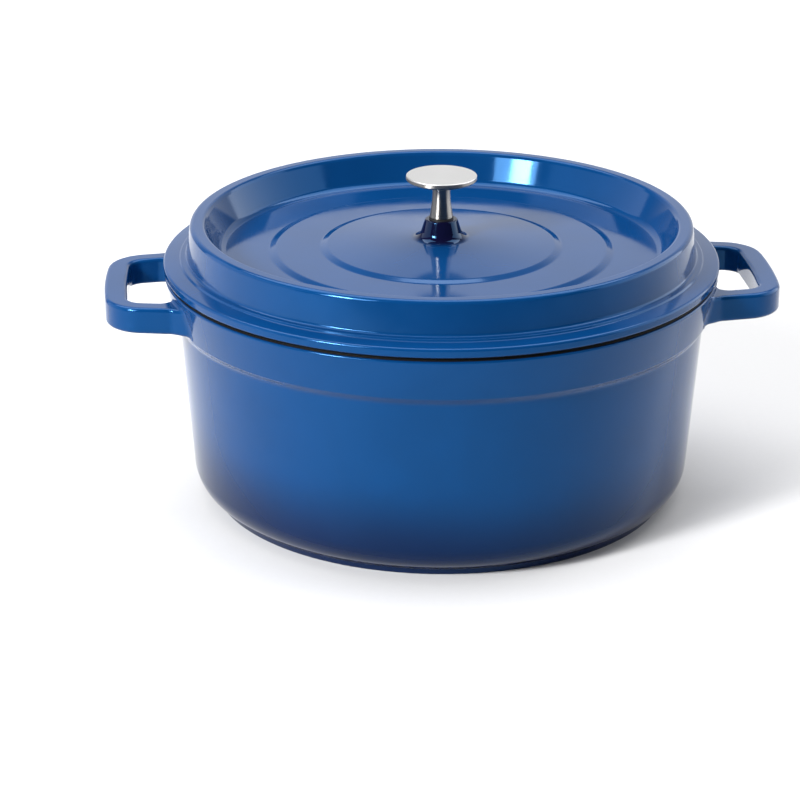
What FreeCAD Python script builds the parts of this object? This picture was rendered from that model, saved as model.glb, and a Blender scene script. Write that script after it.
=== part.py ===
"""A round, enamelled cast iron dutch oven with a stepped lid and a steel knob.

Millimetres, +Z up. The origin is on the ground plane under the middle of the pot, and the two
loop handles point along +X and -X.
"""

import FreeCAD, Part
import math
import os
import Sketcher

SIZES = {
    # pot: foot ring, heel, wall, rim band and mouth
    "foot_inner_radius": 113.0,
    "foot_recess": 1.0,
    "foot_radius": 125.2,
    "foot_flank_radius": 126.2,
    "foot_height": 3.4,
    "foot_round": 0.8,
    "heel_radius": 135.4,
    "heel_height": 10.6,
    "heel_round": 17.0,
    "shoulder_radius": 142.5,
    "shoulder_height": 101.0,
    "shoulder_round": 5.0,
    "band_foot_radius": 145.3,
    "band_foot_height": 104.6,
    "band_foot_round": 2.0,
    "band_radius": 149.7,
    "band_height": 126.2,
    "band_round": 1.0,
    "land_radius": 148.2,
    "land_round": 0.4,
    "pot_height": 127.2,
    "mouth_radius": 140.7,
    "mouth_round": 1.0,
    "floor_radius": 131.4,
    "floor_height": 5.2,
    "floor_round": 14.0,
    # loop handles: their top face, section and outline seen from above
    "handle_top": 121.5,
    "handle_thickness": 14.3,
    "handle_edge_round": 2.2,
    "handle_root_round": 2.0,
    "outer_root_across": 133.0,
    "outer_root_side": 56.0,
    "outer_flare_across": 146.0,
    "outer_flare_side": 48.4,
    "outer_corner_across": 179.6,
    "outer_corner_side": 43.6,
    "outer_corner_round": 22.0,
    "outer_apex": 183.0,
    "outer_apex_round": 300.0,
    "inner_root_across": 139.5,
    "inner_root_side": 28.0,
    "inner_flare_across": 150.5,
    "inner_flare_side": 37.2,
    "flare_round": 8.0,
    "inner_corner_across": 168.7,
    "inner_corner_side": 33.6,
    "inner_corner_round": 9.0,
    "inner_apex": 170.1,
    "inner_apex_round": 300.0,
    # lid, measured up from the foot of its locating lip
    "lip_depth": 5.6,
    "lip_tip_radius": 138.7,
    "lip_root_radius": 139.2,
    "lip_inner_radius": 135.3,
    "lip_round": 0.9,
    "flange_under": 6.6,
    "flange_radius": 150.0,
    "flange_top": 11.4,
    "flange_round": 1.6,
    "flange_lower_round": 1.2,
    "bead_foot_radius": 141.4,
    "bead_foot_height": 12.4,
    "bead_radius": 140.7,
    "bead_height": 13.4,
    "bead_round": 0.5,
    "skirt_radius": 137.6,
    "skirt_height": 13.8,
    "skirt_round": 1.6,
    "rim_outer_radius": 135.2,
    "rim_outer_round": 2.6,
    "rim_top": 31.5,
    "rim_inner_radius": 128.0,
    "rim_inner_round": 2.2,
    "rim_edge_radius": 126.6,
    "rim_edge_height": 29.6,
    "dish_radius": 119.3,
    "dish_height": 14.3,
    "dish_round": 5.0,
    "ring_flank": 4.0,
    "ring_round": 5.0,
    "outer_ring_radius": 89.1,
    "outer_ring_foot": 14.6,
    "outer_ring_top": 15.9,
    "inner_ring_radius": 61.5,
    "inner_ring_foot": 16.2,
    "inner_ring_top": 17.5,
    "boss_foot_radius": 12.0,
    "boss_foot_height": 21.0,
    "boss_foot_round": 6.0,
    "boss_top_radius": 8.6,
    "boss_height": 31.4,
    "boss_round": 1.0,
    "screw_hole_radius": 3.0,
    "pad_radius": 14.0,
    "pad_height": 16.0,
    "crown_height": 13.4,
    "crown_radius": 60.0,
    "span_radius": 91.0,
    "span_height": 11.8,
    "haunch_radius": 122.4,
    "haunch_height": 10.6,
    "haunch_round": 3.0,
    "channel_inner_radius": 129.0,
    "channel_outer_radius": 132.3,
    "channel_height": 25.8,
    "channel_round": 1.4,
    # basting bumps under the lid
    "bump_radius": 4.0,
    "inner_bumps_radius": 34.0,
    "inner_bumps_centre": 17.2,
    "middle_bumps_radius": 68.0,
    "middle_bumps_centre": 15.4,
    "outer_bumps_radius": 102.0,
    "outer_bumps_centre": 13.9,
    # knob, measured up from its foot
    "knob_foot_radius": 6.4,
    "knob_foot_round": 0.5,
    "knob_waist_radius": 4.7,
    "knob_waist_height": 10.0,
    "knob_waist_round": 55.0,
    "knob_throat_height": 18.0,
    "knob_throat_round": 1.6,
    "knob_belly_radius": 15.2,
    "knob_belly_height": 19.4,
    "knob_belly_round": 6.0,
    "knob_radius": 19.0,
    "knob_rim_height": 21.2,
    "knob_rim_round": 0.6,
    "knob_height": 23.5,
    "knob_top_round": 0.5,
    "thread_radius": 2.5,
    "thread_depth": 13.5,
    "thread_point": 15.0,
    # seal, washer and screw
    "gasket_radius": 6.6,
    "gasket_hole_radius": 2.8,
    "gasket_thickness": 0.8,
    "washer_radius": 7.5,
    "washer_hole_radius": 2.7,
    "washer_thickness": 1.2,
    "screw_radius": 2.45,
    "screw_point_radius": 2.0,
    "screw_point": 0.6,
    "screw_length": 30.0,
    "head_radius": 4.75,
    "head_height": 3.6,
    "head_round": 1.9,
    "recess_half_length": 2.6,
    "recess_half_width": 0.55,
    "recess_depth": 2.2,
}
# each ring of basting bumps: how its words in the sheet begin, and how many bumps it has
BASTING_RINGS = (("inner_bumps", 8), ("middle_bumps", 14), ("outer_bumps", 20))

SIDES = (("right", 0.0), ("left", 180.0))
# the lid's own zero, the foot of its locating lip, in the pot's heights
LID_FOOT = "pot_height - lip_depth"
# how near two surfaces count as touching
TOUCH = 0.05

H_AXIS = -1
V_AXIS = -2
START, END = 1, 2


def number(text):
    """The value of a sum of sheet words, such as "pot_height - lip_depth"."""
    total = 0.0
    sign = 1.0
    for word in text.split():
        if word in "+-":
            sign = 1.0 if word == "+" else -1.0
        elif word != "0":
            total += sign * SIZES[word]
    return total


def bound(text):
    """The same sum as an expression that reads the sheet."""
    return " ".join(f"Sizes.{word}" if word in SIZES else word for word in text.split())


def make_sheet(document):
    sheet = document.addObject("Spreadsheet::Sheet", "Sizes")
    for row, (word, value) in enumerate(SIZES.items(), start=1):
        sheet.set(f"A{row}", word)
        sheet.set(f"B{row}", str(value))
        sheet.setAlias(f"B{row}", word)
    document.recompute()
    return sheet


def new_body(document, name, height=None):
    """A body with its own label, lifted to the height that a sum of sheet words gives."""
    body = document.addObject("PartDesign::Body", name)
    body.Label = name
    if height:
        body.setExpression("Placement.Base.z", bound(height))
    return body


def origin_feature(body, role):
    return next(item for item in body.Origin.OriginFeatures if item.Role == role)


def new_sketch(body, name, plane, height=None):
    sketch = body.newObject("Sketcher::SketchObject", name)
    sketch.AttachmentSupport = [(origin_feature(body, plane), "")]
    sketch.MapMode = "FlatFace"
    if height:
        sketch.setExpression("AttachmentOffset.Base.z", bound(height))
    return sketch


def bind(sketch, constraint, text):
    """Adds a dimension and ties it to the sheet."""
    index = sketch.addConstraint(constraint)
    sketch.setExpression(f"Constraints[{index}]", bound(text))


def pin(sketch, geometry, vertex, across, up):
    """Places a vertex by its two distances from the sketch's origin."""
    for text, axis, kind in ((across, V_AXIS, "DistanceX"), (up, H_AXIS, "DistanceY")):
        if text == "0":
            sketch.addConstraint(Sketcher.Constraint("PointOnObject", geometry, vertex, axis))
        else:
            distance = Sketcher.Constraint(kind, -1, 1, geometry, vertex, number(text))
            bind(sketch, distance, text)


class Corner:
    """One corner of an outline: where its two sides would meet, and how round it is."""

    def __init__(self, across, up, rounding=None, twin=None):
        self.across = across
        self.up = up
        self.rounding = rounding
        self.twin = twin
        side = -1.0 if twin else 1.0
        self.point = FreeCAD.Vector(number(across), side * number(up), 0)

    def fit(self, before, after):
        """Finds where the arc leaves the side before and joins the side after."""
        inward = (self.point - before.point).normalize()
        outward = (after.point - self.point).normalize()
        self.radius = number(self.rounding) if self.rounding else 0.0
        self.left_turn = inward.cross(outward).z > 0
        reach = self.radius * math.tan(inward.getAngle(outward) / 2)
        self.leave = self.point - inward * reach
        self.join = self.point + outward * reach
        normal = FreeCAD.Vector(-inward.y, inward.x, 0) * (1 if self.left_turn else -1)
        self.centre = self.leave + normal * self.radius

    def arc(self):
        first, last = (self.leave, self.join) if self.left_turn else (self.join, self.leave)
        turns = [math.atan2(*reversed((end - self.centre)[:2])) for end in (first, last)]
        circle = Part.Circle(self.centre, FreeCAD.Vector(0, 0, 1), self.radius)
        return Part.ArcOfCircle(circle, turns[0], turns[1])


def draw_outline(sketch, corners):
    """Draws a closed outline through the corners, fully constrained, with tangent arcs."""
    count = len(corners)
    for index, corner in enumerate(corners):
        corner.fit(corners[index - 1], corners[(index + 1) % count])
    sides = []
    for index, corner in enumerate(corners):
        after = corners[(index + 1) % count]
        sides.append(sketch.addGeometry(Part.LineSegment(corner.join, after.leave), False))
    for index, corner in enumerate(corners):
        before, after = sides[index - 1], sides[index]
        if not corner.rounding:
            sketch.addConstraint(Sketcher.Constraint("Coincident", before, END, after, START))
            corner.mark = (after, START)
            continue
        corner.bend = sketch.addGeometry(corner.arc(), False)
        first, last = (START, END) if corner.left_turn else (END, START)
        sketch.addConstraint(Sketcher.Constraint("Tangent", before, END, corner.bend, first))
        sketch.addConstraint(Sketcher.Constraint("Tangent", corner.bend, last, after, START))
        point = sketch.addGeometry(Part.Point(corner.point), True)
        sketch.addConstraint(Sketcher.Constraint("PointOnObject", point, START, before))
        sketch.addConstraint(Sketcher.Constraint("PointOnObject", point, START, after))
        corner.mark = (point, START)
    for corner in corners:
        if corner.twin:
            mirror = ("Symmetric", *corner.mark, *corner.twin.mark, H_AXIS)
            sketch.addConstraint(Sketcher.Constraint(*mirror))
            if corner.rounding:
                same = Sketcher.Constraint("Equal", corner.bend, corner.twin.bend)
                sketch.addConstraint(same)
            continue
        pin(sketch, *corner.mark, corner.across, corner.up)
        if corner.rounding:
            radius = Sketcher.Constraint("Radius", corner.bend, corner.radius)
            bind(sketch, radius, corner.rounding)


def draw_rectangle(sketch, across, up):
    """A rectangle about the sketch's origin, from its two half sizes."""
    x, y = number(across), number(up)
    corners = [FreeCAD.Vector(*at, 0) for at in ((x, y), (-x, y), (-x, -y), (x, -y))]
    sides = [
        sketch.addGeometry(Part.LineSegment(corner, corners[(index + 1) % 4]), False)
        for index, corner in enumerate(corners)
    ]
    for index, side in enumerate(sides):
        after = sides[(index + 1) % 4]
        sketch.addConstraint(Sketcher.Constraint("Coincident", side, END, after, START))
        level = "Horizontal" if index % 2 == 0 else "Vertical"
        sketch.addConstraint(Sketcher.Constraint(level, side))
    middle = Sketcher.Constraint("Symmetric", sides[0], START, sides[2], START, H_AXIS, START)
    sketch.addConstraint(middle)
    pin(sketch, sides[0], START, across, up)


def revolve(body, name, corners):
    """Turns a section, drawn in radius and height, right round the body's Z axis."""
    sketch = new_sketch(body, f"{name}Section", "XZ_Plane")
    draw_outline(sketch, [Corner(*corner) for corner in corners])
    turned = body.newObject("PartDesign::Revolution", name)
    turned.Profile = sketch
    turned.ReferenceAxis = (sketch, ["V_Axis"])
    turned.Angle = 360
    return turned


def round_edges(body, name, feature, chosen, size):
    """Fillets the feature's edges that the test chooses."""
    body.Document.recompute()
    edges = [
        f"Edge{index}" for index, edge in enumerate(feature.Shape.Edges, start=1) if chosen(edge)
    ]
    if not edges:
        raise RuntimeError(f"{name} finds no edge to round")
    fillet = body.newObject("PartDesign::Fillet", name)
    fillet.Base = (feature, edges)
    fillet.setExpression("Radius", bound(size))
    return fillet


def make_handle(document, name, turn):
    """One loop handle: two arms that flare into the rim band, and the bar that joins them."""
    body = new_body(document, name)
    body.Placement.Rotation = FreeCAD.Rotation(FreeCAD.Vector(0, 0, 1), turn)
    sketch = new_sketch(body, "LoopOutline", "XY_Plane", "handle_top - handle_thickness")
    outer = [
        Corner("outer_root_across", "outer_root_side"),
        Corner("outer_flare_across", "outer_flare_side", "flare_round"),
        Corner("outer_corner_across", "outer_corner_side", "outer_corner_round"),
    ]
    inner = [
        Corner("inner_corner_across", "inner_corner_side", "inner_corner_round"),
        Corner("inner_flare_across", "inner_flare_side", "flare_round"),
        Corner("inner_root_across", "inner_root_side"),
    ]
    outer_apex = Corner("outer_apex", "0", "outer_apex_round")
    inner_apex = Corner("inner_apex", "0", "inner_apex_round")
    outer_twins = [Corner(c.across, c.up, c.rounding, c) for c in reversed(outer)]
    inner_twins = [Corner(c.across, c.up, c.rounding, c) for c in reversed(inner)]
    draw_outline(sketch, [*outer, outer_apex, *outer_twins, *inner_twins, inner_apex, *inner])
    loop = body.newObject("PartDesign::Pad", "Loop")
    loop.Profile = sketch
    loop.setExpression("Length", bound("handle_thickness"))
    low = number("handle_top - handle_thickness")
    high = number("handle_top")

    def on_face(edge):
        box = edge.BoundBox
        return box.ZLength < TOUCH and min(abs(box.ZMin - low), abs(box.ZMin - high)) < TOUCH

    round_edges(body, "LoopRounding", loop, on_face, "handle_edge_round")
    return body


def make_pot(document):
    """The pot, one casting: foot, wall, rim band and both handles."""
    body = new_body(document, "pot_body")
    revolve(
        body,
        "Shell",
        (
            ("0", "foot_recess"),
            ("foot_inner_radius", "foot_recess"),
            ("foot_inner_radius", "0"),
            ("foot_radius", "0", "foot_round"),
            ("foot_flank_radius", "foot_height"),
            ("heel_radius", "heel_height", "heel_round"),
            ("shoulder_radius", "shoulder_height", "shoulder_round"),
            ("band_foot_radius", "band_foot_height", "band_foot_round"),
            ("band_radius", "band_height", "band_round"),
            ("land_radius", "band_height"),
            ("land_radius", "pot_height", "land_round"),
            ("mouth_radius", "pot_height", "mouth_round"),
            ("floor_radius", "floor_height", "floor_round"),
            ("0", "floor_height"),
        ),
    )
    handles = [make_handle(document, f"{side}_handle", turn) for side, turn in SIDES]
    document.recompute()
    joined = body.newObject("PartDesign::Boolean", "JoinHandles")
    joined.setObjects(handles)
    joined.Type = "Fuse"
    handle_foot = number("handle_top - handle_thickness")
    steepness = number("band_radius - band_foot_radius") / number("band_height - band_foot_height")

    def where_handle_meets_band(edge):
        box = edge.BoundBox
        if box.ZMin < handle_foot - TOUCH or box.ZMax > number("handle_top") + TOUCH:
            return False
        return all(
            abs(math.hypot(p.x, p.y) - number("band_foot_radius")
                - steepness * (p.z - number("band_foot_height"))) < TOUCH
            for p in edge.discretize(5)
        )

    round_edges(body, "HandleRoots", joined, where_handle_meets_band, "handle_root_round")
    return body


def make_lid(document):
    """The lid, one casting: flange, rim wall, stepped floor, boss and underside lip."""
    body = new_body(document, "lid", LID_FOOT)
    revolve(
        body,
        "Lid",
        (
            ("screw_hole_radius", "boss_height"),
            ("screw_hole_radius", "pad_height"),
            ("pad_radius", "pad_height"),
            ("crown_radius", "crown_height"),
            ("span_radius", "span_height"),
            ("haunch_radius", "haunch_height", "haunch_round"),
            ("channel_inner_radius", "channel_height", "channel_round"),
            ("channel_outer_radius", "channel_height", "channel_round"),
            ("lip_inner_radius", "0", "lip_round"),
            ("lip_tip_radius", "0", "lip_round"),
            ("lip_root_radius", "lip_depth"),
            ("land_radius", "lip_depth", "land_round"),
            ("land_radius", "flange_under"),
            ("flange_radius", "flange_under", "flange_lower_round"),
            ("flange_radius", "flange_top", "flange_round"),
            ("bead_foot_radius", "bead_foot_height", "bead_round"),
            ("bead_radius", "bead_height", "bead_round"),
            ("skirt_radius", "skirt_height", "skirt_round"),
            ("rim_outer_radius", "rim_top", "rim_outer_round"),
            ("rim_inner_radius", "rim_top", "rim_inner_round"),
            ("rim_edge_radius", "rim_edge_height"),
            ("dish_radius", "dish_height", "dish_round"),
            ("outer_ring_radius + ring_flank", "outer_ring_foot", "ring_round"),
            ("outer_ring_radius", "outer_ring_top", "ring_round"),
            ("inner_ring_radius + ring_flank", "inner_ring_foot", "ring_round"),
            ("inner_ring_radius", "inner_ring_top", "ring_round"),
            ("boss_foot_radius", "boss_foot_height", "boss_foot_round"),
            ("boss_top_radius", "boss_height", "boss_round"),
        ),
    )
    add_basting_bumps(body)
    return body


def make_knob(document):
    """The knob, turned from steel bar: a flat disc on a waisted neck, with a threaded hole."""
    body = new_body(document, "lid_knob", f"{LID_FOOT} + boss_height + gasket_thickness")
    revolve(
        body,
        "Knob",
        (
            ("0", "thread_point"),
            ("thread_radius", "thread_depth"),
            ("thread_radius", "0"),
            ("knob_foot_radius", "0", "knob_foot_round"),
            ("knob_waist_radius", "knob_waist_height", "knob_waist_round"),
            ("knob_waist_radius", "knob_throat_height", "knob_throat_round"),
            ("knob_belly_radius", "knob_belly_height", "knob_belly_round"),
            ("knob_radius", "knob_rim_height", "knob_rim_round"),
            ("knob_radius", "knob_height", "knob_top_round"),
            ("0", "knob_height"),
        ),
    )
    return body


def make_ring(document, name, kind, height):
    """A flat ring, such as a seal or a washer; its kind begins its words in the sheet."""
    body = new_body(document, name, height)
    hole, outside, top = (f"{kind}_{size}" for size in ("hole_radius", "radius", "thickness"))
    revolve(body, "Ring", ((hole, "0"), (outside, "0"), (outside, top), (hole, top)))
    return body


def make_screw(document):
    """A pan head machine screw, head down, measured up from the top of its head."""
    height = f"{LID_FOOT} + pad_height - washer_thickness - head_height"
    body = new_body(document, "knob_screw", height)
    revolve(
        body,
        "Screw",
        (
            ("0", "0"),
            ("head_radius", "0", "head_round"),
            ("head_radius", "head_height"),
            ("screw_radius", "head_height"),
            ("screw_radius", "head_height + screw_length - screw_point"),
            ("screw_point_radius", "head_height + screw_length"),
            ("0", "head_height + screw_length"),
        ),
    )
    half_sizes = ("recess_half_length", "recess_half_width")
    for name, half in (("RecessAlong", half_sizes), ("RecessAcross", half_sizes[::-1])):
        sketch = new_sketch(body, f"{name}Outline", "XY_Plane")
        draw_rectangle(sketch, *half)
        slot = body.newObject("PartDesign::Pocket", name)
        slot.Profile = sketch
        slot.Reversed = True
        slot.setExpression("Length", bound("recess_depth"))
    return body


def add_basting_bumps(body):
    """Rings of low domes under the lid, from which the steam drips back."""
    for ring, count in BASTING_RINGS:
        bump = body.newObject("PartDesign::AdditiveSphere", f"{ring}_dome")
        bump.AttachmentSupport = [(origin_feature(body, "XY_Plane"), "")]
        bump.MapMode = "FlatFace"
        bump.setExpression("Radius", bound("bump_radius"))
        bump.Angle1 = -90
        bump.Angle2 = 0
        bump.setExpression("AttachmentOffset.Base.x", bound(f"{ring}_radius"))
        bump.setExpression("AttachmentOffset.Base.z", bound(f"{ring}_centre"))
        body.Document.recompute()
        pattern = body.newObject("PartDesign::PolarPattern", ring)
        pattern.Originals = [bump]
        pattern.Axis = (origin_feature(body, "Z_Axis"), [""])
        pattern.Angle = 360
        pattern.Occurrences = count
        body.Tip = pattern


def check_and_export(document, parts):
    for item in document.Objects:
        if {"Invalid", "Error"} & set(item.State):
            raise RuntimeError(f"{item.Label} failed: {item.State}")
    for body in parts:
        if body.Shape.isNull() or not body.Shape.isValid():
            raise RuntimeError(f"{body.Label} has no valid shape")
    os.makedirs("parts", exist_ok=True)
    for body in parts:
        body.Shape.exportStep(f"parts/{body.Label}.step")
        box = body.Shape.BoundBox
        print(f"{body.Label}: {box.XLength:.1f} x {box.YLength:.1f} x {box.ZLength:.1f} mm,"
              f" {body.Shape.Volume / 1000:.1f} cm3, z {box.ZMin:.2f} to {box.ZMax:.2f},"
              f" {len(body.Shape.Solids)} solid")


def main():
    document = FreeCAD.newDocument("DutchOven")
    make_sheet(document)
    pot = make_pot(document)
    lid = make_lid(document)
    knob = make_knob(document)
    gasket = make_ring(document, "knob_gasket", "gasket", f"{LID_FOOT} + boss_height")
    under_pad = f"{LID_FOOT} + pad_height - washer_thickness"
    washer = make_ring(document, "screw_washer", "washer", under_pad)
    screw = make_screw(document)
    document.recompute()
    check_and_export(document, [pot, lid, knob, gasket, washer, screw])


main()
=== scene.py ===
"""Looks of the enamelled cast iron dutch oven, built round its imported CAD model.

Metres, +Z up, in the part's own frame: the handles point along +X and -X. The outlines of the
turned and cast pieces are in millimetres, because that is how the part is dimensioned.
"""

import math

import bpy
from mathutils import Matrix, Vector


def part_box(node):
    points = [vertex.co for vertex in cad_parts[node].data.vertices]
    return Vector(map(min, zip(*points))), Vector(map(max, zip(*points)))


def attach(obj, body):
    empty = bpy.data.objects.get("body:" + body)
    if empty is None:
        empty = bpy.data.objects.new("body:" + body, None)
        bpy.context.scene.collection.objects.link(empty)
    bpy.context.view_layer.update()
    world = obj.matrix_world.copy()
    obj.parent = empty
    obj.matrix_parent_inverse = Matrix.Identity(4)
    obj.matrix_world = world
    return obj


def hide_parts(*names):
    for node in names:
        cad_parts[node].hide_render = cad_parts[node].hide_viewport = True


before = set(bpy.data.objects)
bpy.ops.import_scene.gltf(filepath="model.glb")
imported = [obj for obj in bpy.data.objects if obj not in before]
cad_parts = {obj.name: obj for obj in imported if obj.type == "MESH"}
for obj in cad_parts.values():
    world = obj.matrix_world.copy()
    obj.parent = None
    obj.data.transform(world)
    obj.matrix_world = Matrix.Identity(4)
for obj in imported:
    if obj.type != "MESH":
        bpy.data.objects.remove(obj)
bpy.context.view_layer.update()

MM = 0.001

# the studio
CAMERA_DISTANCE = 1.5
CAMERA_AZIMUTH = math.radians(-4.9)
CAMERA_ELEVATION = math.radians(20.3)
CAMERA_HUB = Vector((0.0, 0.0, 0.080))
CAMERA_AIM = Vector((-0.0222, 0.0016, 0.0477))
CAMERA_LENS = 122.95
FLOOR_RADIUS = 1.8
LIGHT_HUB = Vector((0.0, 0.0, 0.10))
# name, azimuth and elevation seen from the object, degrees wide and tall, radiance
SOFTBOXES = (
    ("key", -43, 31, 20, 23, 17.0),
    ("key_core", -46, 31, 9, 10, 110.0),
    ("left_panel", -96, 14, 60, 44, 1.1),
    ("right_panel", 102, 16, 60, 46, 2.0),
    ("overhead", 180, 76, 80, 44, 4.2),
)

# the coats that an outline's sides can have, as places in a piece's list of materials: enamel on
# the castings, and the two ways that the knob's steel is cut, the faced top also painted paler as
# painted light from above
GLOSS, MATTE = 0, 1
TURNED, FACED = 0, 1

# each corner of a section: its radius and height, how round it is, and the coat of the side
# that follows. Heights are from the foot of the piece's CAD node.
POT_SECTION = (
    # the recess under the foot, and the foot ring
    (0.0, 1.0, 0.0, MATTE),
    (113.0, 1.0, 0.3, MATTE),
    (113.0, 0.0, 0.3, MATTE),
    (125.2, 0.0, 0.8, GLOSS),
    (126.2, 3.4, 0.4, GLOSS),
    # the heel, the wall and the rim band
    (135.4, 10.6, 17.0, GLOSS),
    (142.5, 101.0, 5.0, GLOSS),
    (145.3, 104.6, 2.0, GLOSS),
    (149.7, 126.2, 1.0, GLOSS),
    # the land that the lid sits on, the mouth and the inside
    (148.2, 126.2, 0.25, MATTE),
    (148.2, 127.2, 0.4, MATTE),
    (140.7, 127.2, 1.0, MATTE),
    (131.4, 5.2, 14.0, MATTE),
    (0.0, 5.2, 0.0, MATTE),
)
LID_SECTION = (
    # the screw hole and the underside
    (3.0, 31.4, 0.3, MATTE),
    (3.0, 16.0, 0.3, MATTE),
    (14.0, 16.0, 0.3, MATTE),
    (60.0, 13.4, 1.0, MATTE),
    (91.0, 11.8, 1.0, MATTE),
    (122.4, 10.6, 3.0, MATTE),
    (129.0, 25.8, 1.4, MATTE),
    (132.3, 25.8, 1.4, MATTE),
    # the locating lip and the land
    (135.3, 0.0, 0.9, MATTE),
    (138.7, 0.0, 0.9, MATTE),
    (139.2, 5.6, 0.3, MATTE),
    (148.2, 5.6, 0.4, MATTE),
    (148.2, 6.6, 0.3, MATTE),
    # the flange, its bead and the outside of the rim
    (150.0, 6.6, 1.2, GLOSS),
    (150.0, 11.4, 1.6, GLOSS),
    (141.4, 12.4, 0.5, GLOSS),
    (140.7, 13.4, 0.5, GLOSS),
    (137.6, 13.8, 1.6, GLOSS),
    (135.2, 31.5, 2.6, GLOSS),
    (128.0, 31.5, 2.2, GLOSS),
    (126.6, 29.6, 0.8, GLOSS),
    # the dished top with its two raised steps, and the boss
    (119.3, 14.3, 5.0, GLOSS),
    (93.1, 14.6, 5.0, GLOSS),
    (89.1, 15.9, 5.0, GLOSS),
    (65.5, 16.2, 5.0, GLOSS),
    (61.5, 17.5, 5.0, GLOSS),
    (12.0, 21.0, 6.0, GLOSS),
    (8.6, 31.4, 1.0, GLOSS),
)
KNOB_SECTION = (
    (0.0, 15.0, 0.0, TURNED),
    (2.5, 13.5, 0.2, TURNED),
    (2.5, 0.0, 0.2, TURNED),
    (6.4, 0.0, 0.5, TURNED),
    (4.7, 10.0, 55.0, TURNED),
    (4.7, 18.0, 1.6, TURNED),
    (15.2, 19.4, 6.0, TURNED),
    (19.0, 21.2, 0.6, TURNED),
    (19.0, 23.5, 0.5, FACED),
    (0.0, 23.5, 0.0, FACED),
)
# basting bumps: the radius of their ring, how many, and the height of their middles
BASTING_RINGS = ((34.0, 8, 17.2), (68.0, 14, 15.4), (102.0, 20, 13.9))
BUMP_RADIUS = 4.0
BUMP_AROUND = 20
BUMP_DOWN = 7

# the loop handles: half of each outline seen from above, ending at its apex
HANDLE_OUTSIDE = ((133.0, 56.0, 0.0), (146.0, 48.4, 8.0), (179.6, 43.6, 22.0), (182.93, 0.0, 300.0))
HANDLE_INSIDE = ((139.5, 28.0, 0.0), (150.5, 37.2, 8.0), (168.7, 33.6, 9.0), (170.1, 0.0, 300.0))
HANDLE_TOP = 121.5
HANDLE_THICKNESS = 14.3
HANDLE_EDGE_ROUND = 2.2
HANDLE_ROOT_ROUND = 2.0
BAND_FOOT = Vector((145.3, 104.6))
BAND_TOP = Vector((149.7, 126.2))

# how finely the pieces are meshed
CASTING_AROUND = 288
KNOB_AROUND = 192
ARC_STEP = math.radians(9)
SIDE_STEP = 9.0
HANDLE_BEND_STEPS = 14
HANDLE_ARM_STEPS = 36
HANDLE_SPAN_STEPS = 6
HANDLE_EDGE_STEPS = 7
HANDLE_FACE_STEPS = 7

# where the pot's colour fades to its darker foot, partly an ombré glaze and partly painted shade, and
# the lid's to its navy boss, painted shade under the knob, in metres
FOOT_OMBRE_AND_SHADE_FADE = (0.012, 0.058)
BOSS_SHADE_FADE_RADII = (0.0120, 0.0170)
COBALT = (0.0015, 0.033, 0.122, 1.0)
# the darker foot colour: partly an ombré glaze, partly painted shade low on the pot
FOOT_OMBRE_AND_PAINTED_SHADE = (0.003, 0.007, 0.036, 1.0)
# the navy of the boss: painted shade under the knob
PAINTED_SHADE_NAVY = (0.003, 0.003, 0.018, 1.0)
LAND_BLACK = (0.003, 0.003, 0.0035, 1.0)
GLASS_TINT = (0.16, 0.48, 1.0, 1.0)


def to_linear(*srgb):
    """A colour given as sRGB parts from 0 to 255, in linear light."""
    parts = [part / 255 for part in srgb]
    return tuple(p / 12.92 if p <= 0.04045 else ((p + 0.055) / 1.055) ** 2.4 for p in parts) + (1.0,)


# ---------------------------------------------------------------- outlines and meshes


def right_of(way):
    return Vector((way.y, -way.x))


def trace(corners, closed, arc_steps=None, side_steps=None):
    """Points along an outline with rounded corners: (point, outward normal, corner's number).

    The solid lies to the left of the way that the corners go.
    """
    count = len(corners)
    places = [Vector(corner[:2]) for corner in corners]
    bends = []
    for index, corner in enumerate(corners):
        here = places[index]
        inward = (here - places[index - 1]).normalized()
        outward = (places[(index + 1) % count] - here).normalized()
        if not closed and index == 0:
            inward = outward
        if not closed and index == count - 1:
            outward = inward
        turn = math.atan2(inward.cross(outward), inward.dot(outward))
        size = corner[2]
        reach = size * math.tan(abs(turn) / 2)
        start = here - inward * reach
        centre = start - right_of(inward) * math.copysign(size, turn)
        steps = arc_steps or max(2, math.ceil(abs(turn) / ARC_STEP))
        if not size:
            steps = 0
        bend = []
        for step in range(steps + 1):
            spin = Matrix.Rotation(turn * step / max(steps, 1), 2)
            bend.append((centre + spin @ (start - centre), spin @ right_of(inward), index))
        bends.append(bend)
    rows = []
    for index, bend in enumerate(bends):
        rows += bend
        if index == count - 1 and not closed:
            break
        start, normal, _ = bend[-1]
        end = bends[(index + 1) % count][0][0]
        plain = max(1, math.ceil((end - start).length / SIDE_STEP))
        pieces = side_steps(index) if side_steps else plain
        for piece in range(1, pieces):
            rows.append((start.lerp(end, piece / pieces), normal, index))
    return rows


def new_object(name, points, faces, materials, coats=None, normals=None):
    mesh = bpy.data.meshes.new(name)
    mesh.from_pydata([tuple(point) for point in points], [], faces)
    for material in materials:
        mesh.materials.append(material)
    mesh.polygons.foreach_set("use_smooth", [True] * len(faces))
    if coats:
        mesh.polygons.foreach_set("material_index", coats)
    mesh.update()
    if normals:
        mesh.normals_split_custom_set_from_vertices([tuple(normal) for normal in normals])
    made = bpy.data.objects.new(name, mesh)
    bpy.context.scene.collection.objects.link(made)
    return made


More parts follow.
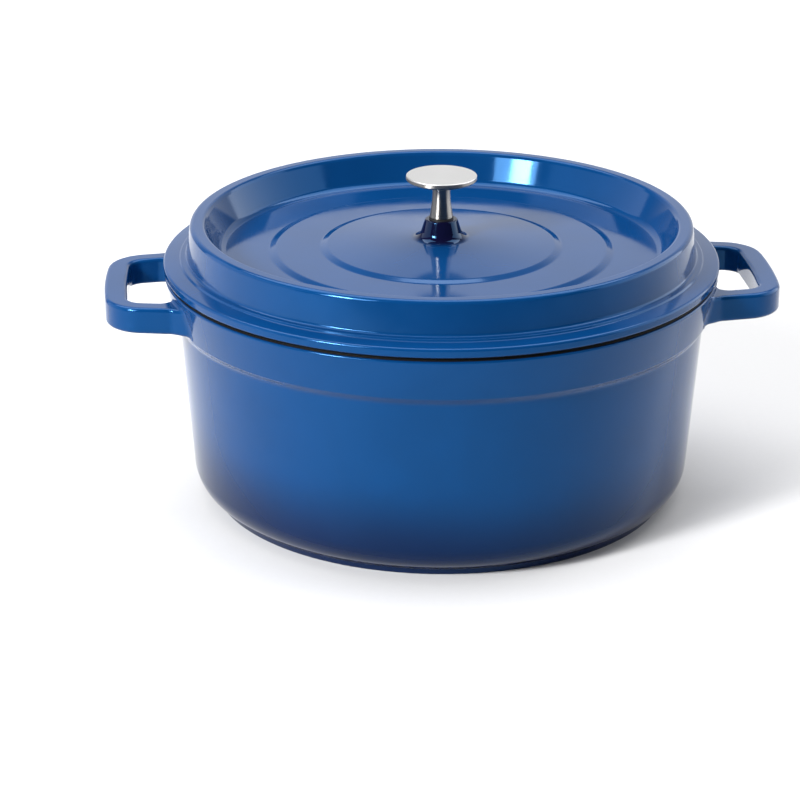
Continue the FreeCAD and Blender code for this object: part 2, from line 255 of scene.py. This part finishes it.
class Shape:
    """Points, faces, coats and normals gathered before they become one mesh."""

    def __init__(self):
        self.points, self.faces, self.coats, self.normals = [], [], [], []

    def ring(self, radius, height, normal, around, middle=(0.0, 0.0)):
        """Adds a ring of points round a vertical axis, or one point on it."""
        first = len(self.points)
        if radius < 1e-6:
            self.points.append((middle[0] * MM, middle[1] * MM, height * MM))
            self.normals.append((0.0, 0.0, math.copysign(1.0, normal.y)))
            return [first] * around
        for step in range(around):
            way = (math.cos(math.tau * step / around), math.sin(math.tau * step / around))
            flat = [(middle[axis] + radius * way[axis]) * MM for axis in (0, 1)]
            self.points.append((*flat, height * MM))
            self.normals.append((normal.x * way[0], normal.x * way[1], normal.y))
        return list(range(first, first + around))

    def skin(self, lower, upper, coat):
        """Joins two rings of the same length with faces."""
        for step, corner in enumerate(lower):
            after = (step + 1) % len(lower)
            face = [corner, lower[after], upper[after], upper[step]]
            face = list(dict.fromkeys(face))
            if len(face) > 2:
                self.faces.append(face)
                self.coats.append(coat)

    def build(self, name, materials):
        return new_object(name, self.points, self.faces, materials, self.coats, self.normals)


def turned(shape, section, foot, closed, around=CASTING_AROUND):
    """Turns a section right round the Z axis."""
    rows = trace(section, closed)
    rings = [
        (shape.ring(point.x, point.y + foot / MM, normal, around), section[index][3])
        for point, normal, index in rows
    ]
    following = rings[1:] + rings[:1] if closed else rings[1:]
    for (ring, coat), (after, _) in zip(rings, following):
        shape.skin(ring, after, coat)


def basting_bumps(shape, foot):
    """Rings of low domes under the lid, each the lower part of a ball."""
    for ring_radius, count, height in BASTING_RINGS:
        for number in range(count):
            turn = math.tau * number / count
            middle = (ring_radius * math.cos(turn), ring_radius * math.sin(turn))
            rings = []
            for step in range(BUMP_DOWN + 1):
                fall = math.pi / 2 * step / BUMP_DOWN
                normal = Vector((math.sin(fall), -math.cos(fall)))
                level = height + foot / MM + BUMP_RADIUS * normal.y
                size = BUMP_RADIUS * normal.x
                rings.append(shape.ring(size, level, normal, BUMP_AROUND, middle))
            for inner, outer in zip(rings, rings[1:]):
                shape.skin(inner, outer, MATTE)


def whole_loop(half):
    """A handle's outline from root to root, from the half that ends at the apex."""
    return half + tuple((across, -side, size) for across, side, size in reversed(half[:-1]))


def band_radius(height):
    """The radius of the rim band at a height."""
    share = (height - BAND_FOOT.y) / (BAND_TOP.y - BAND_FOOT.y)
    return BAND_FOOT.x + share * (BAND_TOP.x - BAND_FOOT.x)


def root_flare(distance):
    """How far a handle swells for its root fillet, at a distance from the rim band."""
    gap = HANDLE_ROOT_ROUND - min(max(distance, 0.0), HANDLE_ROOT_ROUND)
    return HANDLE_ROOT_ROUND - math.sqrt(HANDLE_ROOT_ROUND**2 - gap**2)


def make_handle(name, side, material):
    """One loop handle: a rounded bar whose arms swell into the rim band."""
    sides = len(HANDLE_OUTSIDE) * 2 - 2

    def side_steps(index):
        return HANDLE_ARM_STEPS if index in (0, sides - 1) else HANDLE_SPAN_STEPS

    paths = [
        trace(whole_loop(half), False, HANDLE_BEND_STEPS, side_steps)
        for half in (HANDLE_OUTSIDE, HANDLE_INSIDE)
    ]
    low = HANDLE_TOP - HANDLE_THICKNESS
    points, faces = [], []
    for (outer, _, _), (inner, _, _) in zip(*paths):
        across = (outer - inner).normalized()
        width = (outer - inner).length
        corners = [
            (x, y, HANDLE_EDGE_ROUND)
            for x, y in ((0.0, low), (width, low), (width, HANDLE_TOP), (0.0, HANDLE_TOP))
        ]
        rim = trace(corners, True, HANDLE_EDGE_STEPS, lambda _: HANDLE_FACE_STEPS)
        for place, normal, _ in rim:
            flat = inner + across * place.x
            radial = flat.normalized()
            swell = across * normal.x
            swell -= radial * swell.dot(radial)
            more = root_flare(flat.length - band_radius(place.y))
            flat = flat + swell * more
            points.append((side * flat.x * MM, side * flat.y * MM, (place.y + normal.y * more) * MM))
    rows = len(paths[0])
    per_row = len(points) // rows
    for row in range(rows - 1):
        for step in range(per_row):
            after = (step + 1) % per_row
            here, there = row * per_row, (row + 1) * per_row
            faces.append((here + step, there + step, there + after, here + after))
    handle = new_object(name, points, faces, [material])
    even = handle.modifiers.new("even_shading", "WEIGHTED_NORMAL")
    even.weight = 100
    return handle


# ---------------------------------------------------------------- materials


class Nodes:
    """A short way to build a node tree: each call adds a node, sets it up and links its inputs."""

    def __init__(self, tree):
        self.tree = tree
        tree.nodes.clear()

    def fill(self, socket, value):
        if isinstance(value, bpy.types.NodeSocket):
            self.tree.links.new(value, socket)
        else:
            socket.default_value = value

    def add(self, kind, inputs=None, **settings):
        node = self.tree.nodes.new(kind)
        for name, value in settings.items():
            setattr(node, name, value)
        for name, value in (inputs or {}).items():
            self.fill(node.inputs[name], value)
        return node

    def math(self, operation, first, second=0.0):
        return self.add("ShaderNodeMath", {0: first, 1: second}, operation=operation).outputs[0]

    def map(self, value, low, high, to_low=0.0, to_high=1.0):
        inputs = {
            "Value": value,
            "From Min": low,
            "From Max": high,
            "To Min": to_low,
            "To Max": to_high,
        }
        return self.add("ShaderNodeMapRange", inputs, interpolation_type="SMOOTHSTEP").outputs[0]

    def noise(self, vector, scale, detail=2.0):
        inputs = {"Vector": vector, "Scale": scale, "Detail": detail}
        return self.add("ShaderNodeTexNoise", inputs).outputs["Fac"]

    def mix(self, factor, first, second, blend="MIX"):
        inputs = {0: factor, 6: first, 7: second}
        return self.add("ShaderNodeMix", inputs, data_type="RGBA", blend_type=blend).outputs[2]

    def choose(self, factor, first, second):
        inputs = {0: factor, 2: first, 3: second}
        return self.add("ShaderNodeMix", inputs, data_type="FLOAT").outputs[0]

    def grey(self, value):
        return self.add("ShaderNodeCombineColor", {0: value, 1: value, 2: value}).outputs[0]

    def bump(self, height, strength, distance, normal=None):
        inputs = {"Height": height, "Strength": strength, "Distance": distance}
        if normal:
            inputs["Normal"] = normal
        return self.add("ShaderNodeBump", inputs).outputs["Normal"]


def new_material(name):
    material = bpy.data.materials.new(name)
    material.use_nodes = True
    return material, Nodes(material.node_tree)


def surface(nodes, **inputs):
    """Ends a material in a Principled surface, with the inputs' names in words_like_these."""
    named = {name.replace("_", " ").title().replace("Ior", "IOR"): v for name, v in inputs.items()}
    shader = nodes.add("ShaderNodeBsdfPrincipled", named)
    nodes.add("ShaderNodeOutputMaterial", {"Surface": shader.outputs[0]})


def position(nodes):
    """The point in the part's own frame, and its height and radius, in metres."""
    point = nodes.add("ShaderNodeTexCoord").outputs["Object"]
    parts = nodes.add("ShaderNodeSeparateXYZ", {0: point})
    flat = nodes.add("ShaderNodeCombineXYZ", {0: parts.outputs[0], 1: parts.outputs[1]})
    radius = nodes.add("ShaderNodeVectorMath", {0: flat.outputs[0]}, operation="LENGTH")
    return point, parts.outputs[2], radius.outputs["Value"]


def glossy_enamel(name, shade):
    """Vitreous enamel: glassy cobalt with slight clouds in its colour and a faint orange peel.

    shade gives the dark colour that the cobalt fades to, and how much of the cobalt is left: painted
    shade on the lid's boss, and on the pot partly an ombré glaze, partly painted shade.
    """
    material, nodes = new_material(name)
    point, height, radius = position(nodes)
    dark, share = shade(nodes, point, height, radius)
    colour = nodes.mix(share, dark, COBALT)
    cloud = nodes.map(nodes.noise(point, 28.0, 3.0), 0.3, 0.7, 0.95, 1.05)
    colour = nodes.mix(1.0, colour, nodes.grey(cloud), "MULTIPLY")
    gloss = nodes.map(nodes.noise(point, 60.0, 4.0), 0.3, 0.7, 0.07, 0.12)
    waves = nodes.bump(nodes.noise(point, 35.0, 1.0), 0.10, 0.0002)
    peel = nodes.bump(nodes.noise(point, 420.0, 1.0), 0.06, 0.00005, waves)
    surface(nodes, base_color=colour, roughness=gloss, normal=peel, specular_tint=GLASS_TINT)
    return material


def pot_ombre_and_painted_shade(nodes, point, height, _):
    """The pot's colour deepens towards its foot along an uneven edge: partly a sprayed ombré glaze,
    partly painted shade low on the pot.
    """
    drift = nodes.map(nodes.noise(point, 9.0), 0.3, 0.7, -0.003, 0.003)
    return FOOT_OMBRE_AND_PAINTED_SHADE, nodes.map(nodes.math("ADD", height, drift), *FOOT_OMBRE_AND_SHADE_FADE)


def lid_painted_shade(nodes, point, _, radius):
    """Painted shade: the lid's colour deepens to navy on the boss and just round it, standing in for
    the shade under the knob.
    """
    drift = nodes.map(nodes.noise(point, 60.0), 0.3, 0.7, -0.0006, 0.0006)
    return PAINTED_SHADE_NAVY, nodes.map(nodes.math("ADD", radius, drift), *BOSS_SHADE_FADE_RADII)


def matte_enamel(name):
    """The rough black enamel of the inside, the lid's underside and the lands."""
    material, nodes = new_material(name)
    point, _, _ = position(nodes)
    grain = nodes.noise(point, 1500.0, 3.0)
    fleck = nodes.map(nodes.noise(point, 900.0, 1.0), 0.66, 0.74)
    surface(
        nodes,
        base_color=nodes.mix(fleck, LAND_BLACK, to_linear(22, 22, 24)),
        roughness=nodes.map(grain, 0.3, 0.7, 0.46, 0.60),
        normal=nodes.bump(grain, 0.35, 0.00006),
        specular_ior_level=0.08,
    )
    return material


def turned_steel(name, grey, roughness, spread=0.95):
    """Turned stainless steel: fine rings left by the lathe spread its highlights across them."""
    material, nodes = new_material(name)
    _, height, radius = position(nodes)
    place = nodes.add("ShaderNodeCombineXYZ", {0: nodes.math("ADD", radius, height)}).outputs[0]
    rings = nodes.noise(place, 2600.0, 3.0)
    tangent = nodes.add("ShaderNodeTangent", direction_type="RADIAL", axis="Z").outputs[0]
    surface(
        nodes,
        base_color=nodes.mix(1.0, grey, nodes.grey(nodes.map(rings, 0.3, 0.7, 0.85, 1.1)), "MULTIPLY"),
        metallic=1.0,
        roughness=nodes.map(rings, 0.3, 0.7, roughness - 0.04, roughness + 0.04),
        anisotropic=spread,
        anisotropic_rotation=0.25,
        normal=nodes.bump(rings, 0.05, 0.00002),
        tangent=tangent,
    )
    return material


def rubber(name):
    material, nodes = new_material(name)
    point, _, _ = position(nodes)
    fine = nodes.noise(point, 2200.0, 3.0)
    surface(
        nodes,
        base_color=nodes.mix(fine, to_linear(16, 16, 17), to_linear(30, 30, 32)),
        roughness=nodes.map(fine, 0.3, 0.7, 0.5, 0.62),
        normal=nodes.bump(fine, 0.3, 0.00004),
    )
    return material


# ---------------------------------------------------------------- the object


def settle(piece, body, node):
    """Puts the piece on the body that it rides on and hides the CAD node that it stands for."""
    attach(piece, body)
    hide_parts(node)


def make_pot():
    gloss = glossy_enamel("pot_enamel", pot_ombre_and_painted_shade)
    coats = [gloss, matte_enamel("pot_black")]
    shape = Shape()
    turned(shape, POT_SECTION, 0.0, closed=False)
    settle(shape.build("pot_shell", coats), "pot", "pot_body")
    for name, side in (("handle_right", 1), ("handle_left", -1)):
        settle(make_handle(name, side, gloss), "pot", "pot_body")


def make_lid():
    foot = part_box("lid")[0].z
    coats = [glossy_enamel("lid_enamel", lid_painted_shade), matte_enamel("lid_black")]
    shape = Shape()
    turned(shape, LID_SECTION, foot, closed=True)
    basting_bumps(shape, foot)
    settle(shape.build("lid_casting", coats), "lid", "lid")


def make_knob():
    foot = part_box("lid_knob")[0].z
    shape = Shape()
    turned(shape, KNOB_SECTION, foot, closed=False, around=KNOB_AROUND)
    steels = [
        turned_steel("knob_steel", to_linear(160, 156, 150), 0.38),
        # painted light: the faced top is the same steel as the sides, painted paler where it faces the
        # lights above
        turned_steel("knob_top_steel_painted_light", to_linear(216, 216, 216), 0.32, spread=0.2),
    ]
    settle(shape.build("knob", steels), "lid", "lid_knob")


def dress_small_parts():
    looks = {
        "knob_gasket": rubber("seal_rubber"),
        "knob_screw": turned_steel("screw_steel", to_linear(184, 184, 184), 0.3),
        "screw_washer": turned_steel("washer_steel", to_linear(196, 196, 194), 0.28),
    }
    for name, look in looks.items():
        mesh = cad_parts[name].data
        mesh.materials.clear()
        mesh.materials.append(look)


# ---------------------------------------------------------------- the studio


def make_floor():
    """A plain pale floor: a disc of paper."""
    around, rings = 96, 12
    shape = Shape()
    up = Vector((0.0, 1.0))
    made = [
        shape.ring(FLOOR_RADIUS / MM * (ring / rings) ** 1.6, 0.0, up, around)
        for ring in range(rings + 1)
    ]
    for inner, outer in zip(made, made[1:]):
        shape.skin(outer, inner, GLOSS)
    material, nodes = new_material("floor_paper")
    point, _, _ = position(nodes)
    fine = nodes.noise(point, 300.0, 4.0)
    surface(
        nodes,
        base_color=nodes.mix(fine, to_linear(206, 206, 207), to_linear(211, 211, 212)),
        roughness=nodes.map(fine, 0.3, 0.7, 0.55, 0.65),
        specular_ior_level=0.2,
    )
    shape.build("floor", [material])


def toward(azimuth, elevation):
    """A direction from the object: azimuth 0 is the camera's side and 90 its right, in degrees."""
    turn = CAMERA_AZIMUTH + math.radians(azimuth)
    rise = math.radians(elevation)
    return Vector(
        (math.sin(turn) * math.cos(rise), -math.cos(turn) * math.cos(rise), math.sin(rise))
    )


def make_softbox(name, azimuth, elevation, wide, tall, radiance, distance=2.2):
    """A soft light that covers that many degrees, wide and tall, seen from the object."""
    light = bpy.data.lights.new(name, "AREA")
    light.shape = "RECTANGLE"
    light.size = 2 * distance * math.tan(math.radians(wide / 2))
    light.size_y = 2 * distance * math.tan(math.radians(tall / 2))
    light.energy = radiance * math.pi * light.size * light.size_y
    lamp = bpy.data.objects.new(name, light)
    way = toward(azimuth, elevation)
    lamp.location = LIGHT_HUB + way * distance
    lamp.rotation_euler = way.to_track_quat("Z", "Y").to_euler()
    lamp.visible_camera = False
    bpy.context.scene.collection.objects.link(lamp)


def make_world():
    """A white backdrop behind and to the right of the object, and a dim room on its other sides."""
    world = bpy.data.worlds.new("studio")
    bpy.context.scene.world = world
    world.use_nodes = True
    nodes = Nodes(world.node_tree)
    way = nodes.add("ShaderNodeTexCoord").outputs["Generated"]
    behind = tuple(toward(155, 0))
    facing = nodes.add("ShaderNodeVectorMath", {0: way, 1: behind}, operation="DOT_PRODUCT")
    backdrop = nodes.map(facing.outputs["Value"], 0.15, 0.75, 0.06, 1.0)
    rise = nodes.add("ShaderNodeSeparateXYZ", {0: way}).outputs[2]
    glow = nodes.math("MULTIPLY", backdrop, nodes.map(rise, 0.38, 0.62, 1.0, 0.35))
    seen = nodes.add("ShaderNodeLightPath").outputs["Is Camera Ray"]
    strength = nodes.choose(seen, glow, 1.0)
    sky = nodes.add("ShaderNodeBackground", {"Color": (1.0, 1.0, 1.0, 1.0), "Strength": strength})
    nodes.add("ShaderNodeOutputWorld", {"Surface": sky.outputs[0]})


def make_camera():
    data = bpy.data.cameras.new("camera")
    data.lens = CAMERA_LENS
    data.sensor_width = 36.0
    camera = bpy.data.objects.new("camera", data)
    away = toward(0, math.degrees(CAMERA_ELEVATION))
    camera.location = CAMERA_HUB + away * CAMERA_DISTANCE
    camera.rotation_euler = (CAMERA_AIM - camera.location).to_track_quat("-Z", "Y").to_euler()
    bpy.context.scene.collection.objects.link(camera)
    bpy.context.scene.camera = camera


make_pot()
make_lid()
make_knob()
dress_small_parts()
make_floor()
make_world()
for softbox in SOFTBOXES:
    make_softbox(*softbox)
make_camera()
bpy.context.scene.view_settings.view_transform = "Standard"
